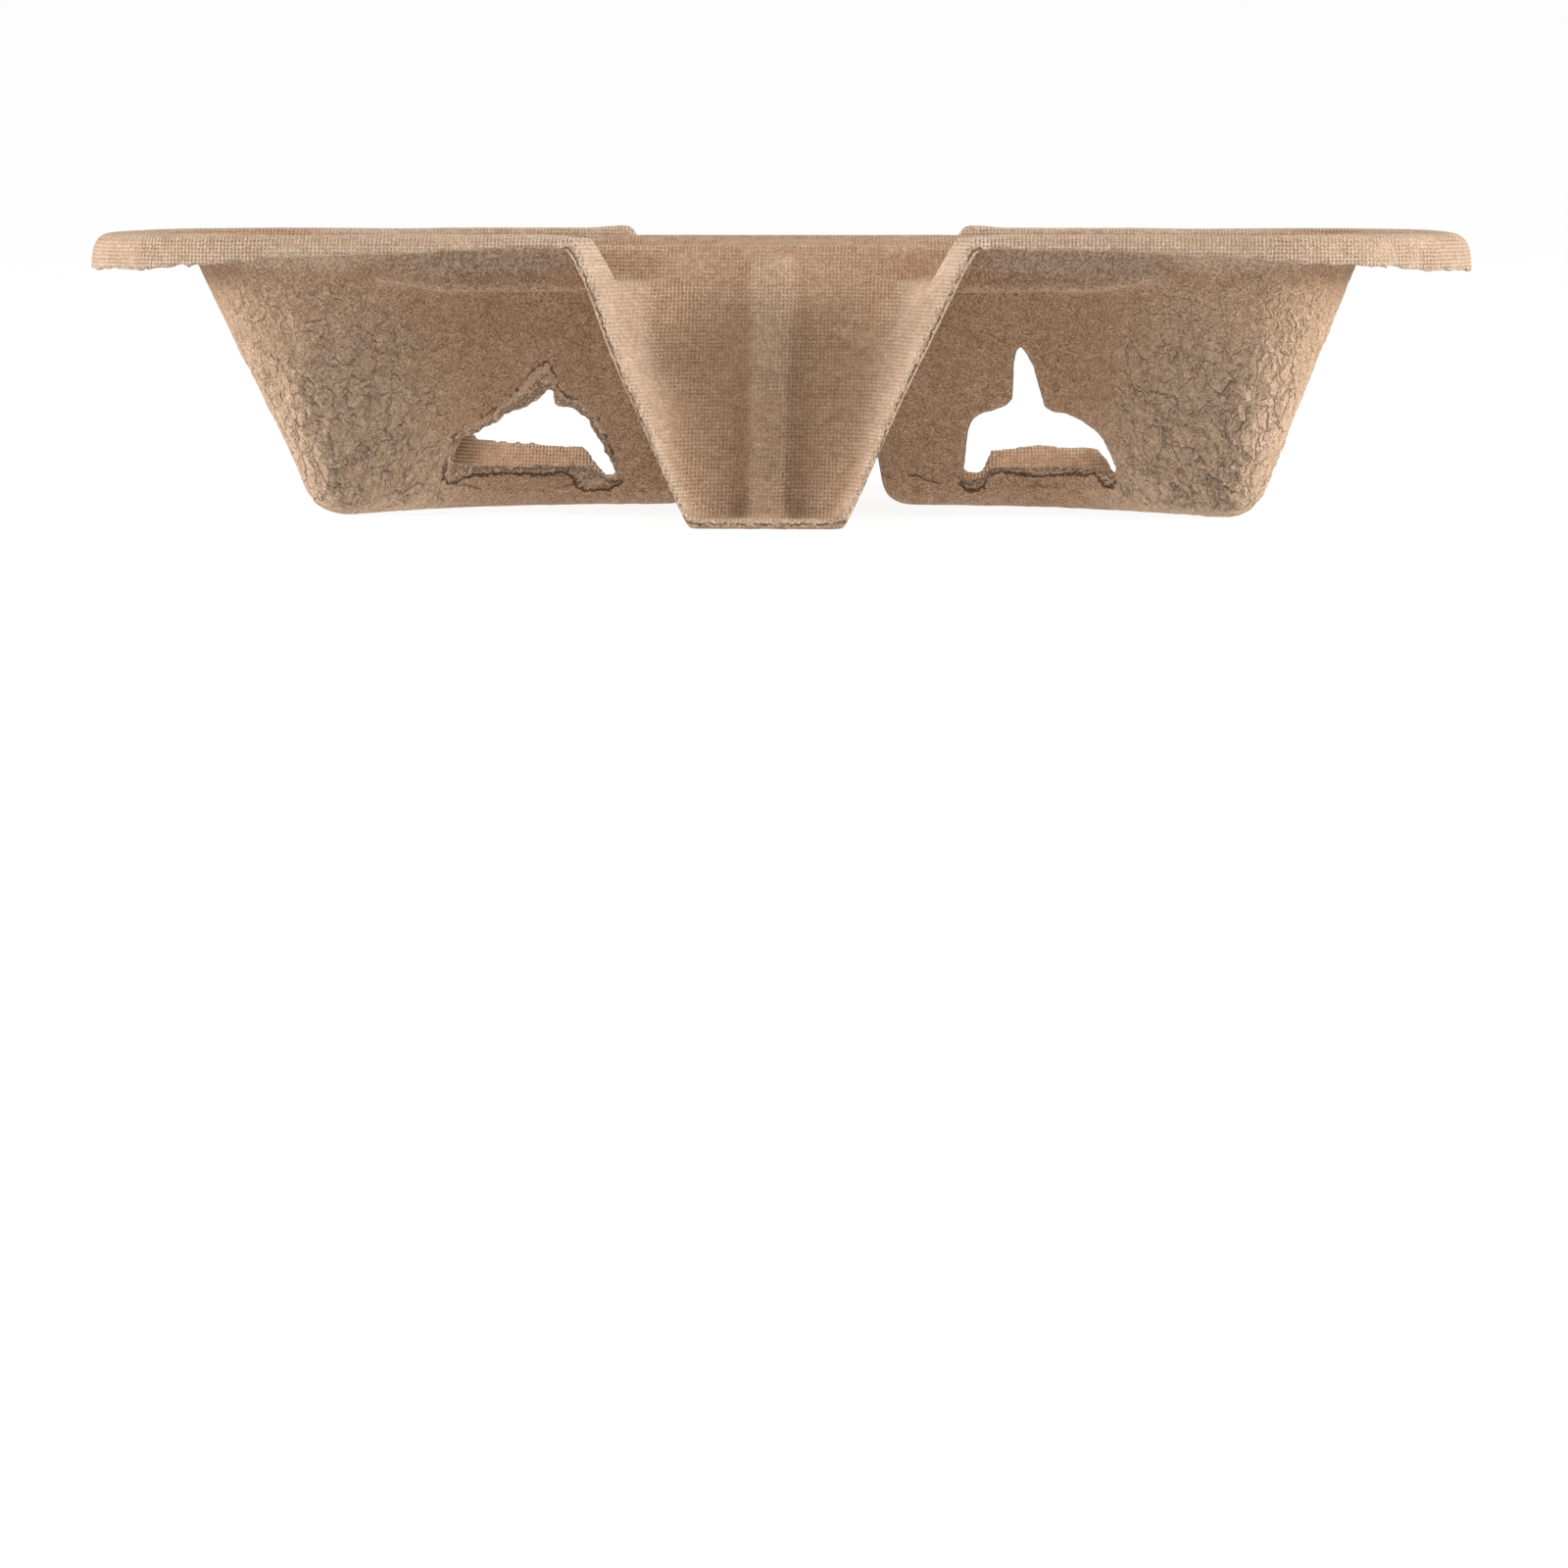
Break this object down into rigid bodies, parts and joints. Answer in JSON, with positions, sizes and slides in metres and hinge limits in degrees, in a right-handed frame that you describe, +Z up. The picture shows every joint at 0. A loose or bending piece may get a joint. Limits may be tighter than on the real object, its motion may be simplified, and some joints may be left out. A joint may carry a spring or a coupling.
{
  "type": "moulded pulp cup carrier",
  "caption": "Shallow oblong carrier of brown moulded paper pulp, with lobed pockets that grip drinks cups, a bridge between them and a flap down each long side.",
  "frame": {"origin": "on the resting surface, below the middle of the bridge between the pockets", "axes": "+X along the carrier, -Y towards the front flap, +Z up out of the pockets"},
  "size_m": [0.215, 0.1188, 0.0433],
  "materials": {
    "pulp": "matt recycled paper pulp, screen imprint on the upper face and loose fibres on the underside"
  },
  "bodies": {
    "root": {"carrier": "pulp"}
  },
  "joints": []
}
